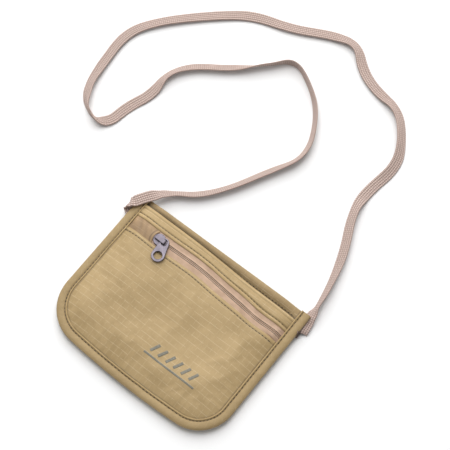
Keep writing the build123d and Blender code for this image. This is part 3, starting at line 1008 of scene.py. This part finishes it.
# ---- edge binding
# The folded tape's section in millimetres: how far in from the edge, and how high.
BINDING_FRONT = [
    (6.20, 0.10), (6.26, 0.40), (6.12, 0.74), (5.85, 0.88), (5.58, 0.78), (5.30, 0.44),
    (5.05, 0.14), (4.80, 0.14), (4.50, 0.42), (3.90, 0.64), (3.00, 0.70), (2.20, 0.66),
    (1.50, 0.54), (0.90, 0.30), (0.45, 0.02), (0.15, -0.40),
]
BINDING_CORE = [(6.0, 0.13), (4.0, 0.13), (2.2, 0.10), (1.2, -0.10)]


def binding_section(run):
    """The folded tape's section at a place along it: points as inset and height."""
    middle = (FLANGE_FRONT + FLANGE_BACK) / 2
    pucker = wobble(run, 0, 2.6 * MM, 61) * 0.17 * MM + wobble(run, 0, 9 * MM, 62) * 0.14 * MM
    section = []
    for inset, up in BINDING_FRONT:
        gather = pucker * smooth(1.0, 5.0, inset) + 0.11 * MM * wobble(run, inset * MM, 3 * MM, 63)
        wide = 0.28 * MM * wobble(run, 0, 14 * MM, 64) * smooth(3.0, 6.0, inset)
        section.append((inset * MM + wide, FLANGE_FRONT + up * MM + gather))
    section.append((0.0, middle))
    for inset, up in reversed(BINDING_FRONT):
        gather = pucker * smooth(1.0, 5.0, inset) * 0.7
        section.append((inset * MM, FLANGE_BACK - 0.45 * up * MM - 0.04 * MM + gather))
    for inset, up in BINDING_CORE:
        section.append((inset * MM, FLANGE_BACK + max(0.0, 0.13 - up) * MM))
    for inset, up in reversed(BINDING_CORE):
        section.append((inset * MM, FLANGE_FRONT + up * MM - 0.02 * MM))
    return section


def add_binding():
    rows, uvs = [], []
    run = 0.0
    track = outline_track(0.55 * MM, BINDING_TOP_LEFT, BINDING_TOP_RIGHT)
    for i, (point, inward) in enumerate(track):
        if i:
            run += (point - track[i - 1][0]).length
        section = binding_section(run)
        row, uv = [], []
        width = 0.0
        for j, (inset, z) in enumerate(section):
            if j:
                width += math.hypot(inset - section[j - 1][0], z - section[j - 1][1])
            place = point + inward * inset
            row.append(Vector((place.x, place.y, z)))
            uv.append((run, width))
        rows.append(row)
        uvs.append(uv)
    piece = grid_object("edge_binding_tape", rows, uvs, closed=True)
    paint(piece, BIAS_CLOTH)
    on_pouch(piece, "binding_tape", "edge_binding")

    # Painted shade in the groove along the stitches, and a painted highlight on the lip inside them.
    def painted_shading(x, y):
        inset = inset_at(x, y)
        groove = 0.60 * bump_at(inset, SEAM_IN, 0.28 * MM)
        return groove - 0.24 * bump_at(inset, SEAM_IN + 0.85 * MM, 0.4 * MM)

    shade(piece, painted_shading)


# ---- stitches
def stitch_mesh(rows, radius, sides=8):
    """Vertices, faces and material numbers of stitches; each row is (points, length of thread seen)."""
    vertices, faces, kinds = [], [], []

    def lozenge(centre, ahead, up, half_long, half_wide, half_high, drop, kind):
        side = ahead.cross(up)
        rings = (-0.97, -0.72, -0.3, 0.3, 0.72, 0.97)
        start = len(vertices)
        for t in rings:
            girth = math.sqrt(1 - t * t) ** 0.8
            middle = centre + ahead * (t * half_long) - up * (drop * t * t)
            for s in range(sides):
                angle = 2 * math.pi * s / sides
                across = side * (half_wide * girth * math.cos(angle))
                vertices.append(middle + across + up * (half_high * girth * math.sin(angle)))
        for i in range(len(rings) - 1):
            for s in range(sides):
                k = (s + 1) % sides
                first, second = start + i * sides, start + (i + 1) * sides
                faces.append((first + s, first + k, second + k, second + s))
                kinds.append(kind)
        faces.append(tuple(reversed(range(start, start + sides))))
        faces.append(tuple(range(start + (len(rings) - 1) * sides, start + len(rings) * sides)))
        kinds.extend((kind, kind))

    for points, shown in rows:
        for first, second in zip(points, points[1:]):
            ahead = (second - first).normalized()
            up = Vector((0, 0, 1)) if radius > 0 else Vector((0, 0, -1))
            up = (up - ahead * up.dot(ahead)).normalized()
            gap = (second - first).length
            thick = abs(radius)
            middle = (first + second) / 2 + up * thick * 0.35
            lozenge(middle, ahead, up, gap * shown / 2, thick, thick * 0.85, thick * 1.3, 0)
            # A dark flat blob at the needle hole: painted shadow.
            hole_shadow = first + up * thick * 0.12
            lozenge(hole_shadow, ahead, up, gap * (1 - shown) * 0.75, thick * 1.3, thick * 0.5, 0.0, 1)
    return vertices, faces, kinds


def add_stitches(name, node, rows, radius, thread):
    vertices, faces, kinds = stitch_mesh(rows, radius)
    piece = mesh_object(name, vertices, faces)
    paint(piece, thread, HOLE_SHADOW)
    for polygon, kind in zip(piece.data.polygons, kinds):
        polygon.material_index = kind
    on_pouch(piece, "sewing_thread", *([node] if node else []))


def along(xs, line, surface, lift):
    return [surface.at(x, line(x)) + Vector((0, 0, lift)) for x in xs]


def add_seams(panel, strip, back):
    lift = CLOTH / 2
    xs = spaced(LEFT + 7.5 * MM, RIGHT - 7.5 * MM, ZIP_STITCH)
    lower = along(xs, lambda x: lower_fold(x) - SEAM_ROW, panel, lift)
    upper = along(xs, lambda x: upper_fold(x) + SEAM_ROW, strip, lift)
    hem = along(xs, lambda x: back_top_y(x) - 4.8 * MM, back, lift)
    add_stitches("zip_lower_seam", "zip_lower_stitching", [(lower, THREAD_SHOWN)], 0.22 * MM, THREAD)
    add_stitches("zip_upper_seam", "zip_upper_stitching", [(upper, THREAD_SHOWN)], 0.22 * MM, THREAD)
    add_stitches("hem_seam", "hem_stitching", [(hem, THREAD_SHOWN)], 0.22 * MM, THREAD)


def add_binding_seam():
    front, back = [], []
    track = outline_track(STITCH, BINDING_TOP_LEFT - 0.8 * MM, BINDING_TOP_RIGHT - 0.8 * MM)
    for i, (point, inward) in enumerate(track):
        wander = 0.10 * MM * wobble(i, 0, 2.5, 71)
        place = point + inward * (SEAM_IN + wander)
        front.append(Vector((place.x, place.y, FLANGE_FRONT + 0.16 * MM)))
        back.append(Vector((place.x, place.y, FLANGE_BACK - 0.15 * MM)))
    add_stitches("binding_seam", "binding_stitching", [(front, THREAD_SHOWN)], 0.24 * MM, THREAD)
    add_stitches("binding_seam_back", None, [(back, THREAD_SHOWN)], -0.24 * MM, THREAD)


# ---- zip
def add_tape(name, side, node):
    """Half of the zip's tape: it turns down into the gap, and runs under the cloth's turned edges."""
    offsets = [0.26, 0.28, 0.33, 0.43, 0.62] + [0.85 + 0.3 * i for i in range(22)]
    drops = [0.55, 0.25, 0.07, 0.0, 0.0] + [0.0] * 22
    xs = spaced(LEFT + 5 * MM, RIGHT - 4.6 * MM, 0.8 * MM)
    rows, uvs = [], []
    for offset, drop in zip(offsets, drops):
        row, uv = [], []
        for x in xs:
            y = zip_y(x) + side * offset * MM
            sewn = bump_at(offset, 0.85, 0.2)
            crown = 0.12 * MM * bump_at(offset, 1.2, 0.5)
            ripple = 0.07 * MM * wobble(x, y, 8 * MM, 81)
            z = tape_z(x, y) - drop * MM + crown - 0.10 * MM * sewn + ripple
            row.append(Vector((x, y, z)))
            uv.append((x, side * offset * MM))
        rows.append(row)
        uvs.append(uv)
    piece = grid_object(name, rows, uvs)
    paint(piece, TAPE_WEAVE)
    thicken(piece, 0.36 * MM, 0.0)
    on_pouch(piece, "zip_tape", node)

    # Painted shade along the sewing row and at the tape's edge by the gap, and painted highlights on the
    # tape beside them.
    def painted_shading(x, y):
        away = abs(y - zip_y(x))
        sewn = 0.12 * bump_at(away, SEWN_OUT, 0.2 * MM)
        gap = 0.6 * bump_at(away, 0.12 * MM, 0.2 * MM)
        painted_highlight = 0.15 * bump_at(away, 0.55 * MM, 0.15 * MM) + 0.14 * bump_at(away, 1.5 * MM, 0.5 * MM)
        return sewn + gap - painted_highlight

    shade(piece, painted_shading)
    points = []
    for x in spaced(TAB_EDGE - 4 * MM, RIGHT - 6 * MM, 1.3 * MM):
        y = zip_y(x) + side * SEWN_OUT
        points.append(Vector((x, y, tape_z(x, y) + 0.15 * MM)))
    add_stitches(name + "_sewing", None, [(points, 0.50)], 0.25 * MM, COIL_THREAD)


# ---- strap ends
def add_strap_end(side, low, high):
    """The end of the strap, sewn flat at the back, and the dense stitching that holds it."""
    middle = (low + high) / 2
    xs = spaced(max(low.x, STRAP_FROM), min(high.x, STRAP_TO), 0.5 * MM)
    line = [Vector((x, middle.y, middle.z)) for x in xs]
    frames = [(Vector((0, 1, 0)), Vector((0, 0, -1))) for _ in line]
    piece = braid_ribbon(f"strap_end_{side}_braid", line, frames)
    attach(piece, "pouch")
    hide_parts(f"strap_end_{side}")
    tack_low, tack_high = (Vector(corner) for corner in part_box(f"bartack_{side}"))
    rows = []
    count = 13
    for i in range(count):
        x = mix(tack_low.x, tack_high.x, i / (count - 1))
        ends = [Vector((x, tack_low.y, tack_low.z)), Vector((x, tack_high.y, tack_low.z))]
        rows.append((ends, 0.98))
    add_stitches(f"bartack_{side}_thread", f"bartack_{side}", rows, -0.18 * MM, THREAD)


# ---- printed mark
def add_print(panel):
    """Ink on the cloth: six slanted bars over a line."""
    low, high = (Vector(corner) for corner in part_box("printed_mark"))
    lift = Vector((0, 0, CLOTH / 2 + 0.02 * MM))
    shapes = [(Vector(((low.x + high.x) / 2, low.y + 0.6 * MM, 0)), high.x - low.x, 1.2 * MM, 0.0)]
    for i in range(6):
        place = Vector((low.x + 4.0 * MM + 5.6 * MM * i, high.y - 3.3 * MM, 0))
        shapes.append((place, 1.8 * MM, 6.4 * MM, math.radians(-25)))
    vertices, faces = [], []
    for place, wide, tall, turn in shapes:
        columns, steps = max(3, round(wide / (0.4 * MM))), max(3, round(tall / (0.4 * MM)))
        start = len(vertices)
        for i in range(steps + 1):
            for j in range(columns + 1):
                spot = Matrix.Rotation(turn, 3, "Z") @ Vector(
                    ((j / columns - 0.5) * wide, (i / steps - 0.5) * tall, 0)
                )
                vertices.append(panel.at(place.x + spot.x, place.y + spot.y) + lift)
        for i in range(steps):
            for j in range(columns):
                k = start + i * (columns + 1) + j
                faces.append((k, k + 1, k + columns + 2, k + columns + 1))
    piece = mesh_object("printed_mark_ink", vertices, faces)
    thicken(piece, 0.03 * MM, 1.0)
    paint(piece, INK)
    on_pouch(piece, "print_ink", "printed_mark")


add_camera()
add_stage()
add_strap()
front_surface = add_front_panel()
strip_surface = add_front_strip()
add_end_tab()
add_divider()
back_surface = add_back_panel()
add_binding()
add_binding_seam()
add_seams(front_surface, strip_surface, back_surface)
add_tape("zip_tape_upper_weave", 1, "zip_tape_upper")
add_tape("zip_tape_lower_weave", -1, "zip_tape_lower")
add_strap_end("left", *STRAP_END_LEFT)
add_strap_end("right", *STRAP_END_RIGHT)
add_print(front_surface)

for node, material in (
    ("slider_body", METAL), ("slider_crown", METAL), ("pull_tab", METAL),
    ("zip_coil_upper", COIL), ("zip_coil_lower", COIL),
):
    paint(frame["nodes"][node], material)
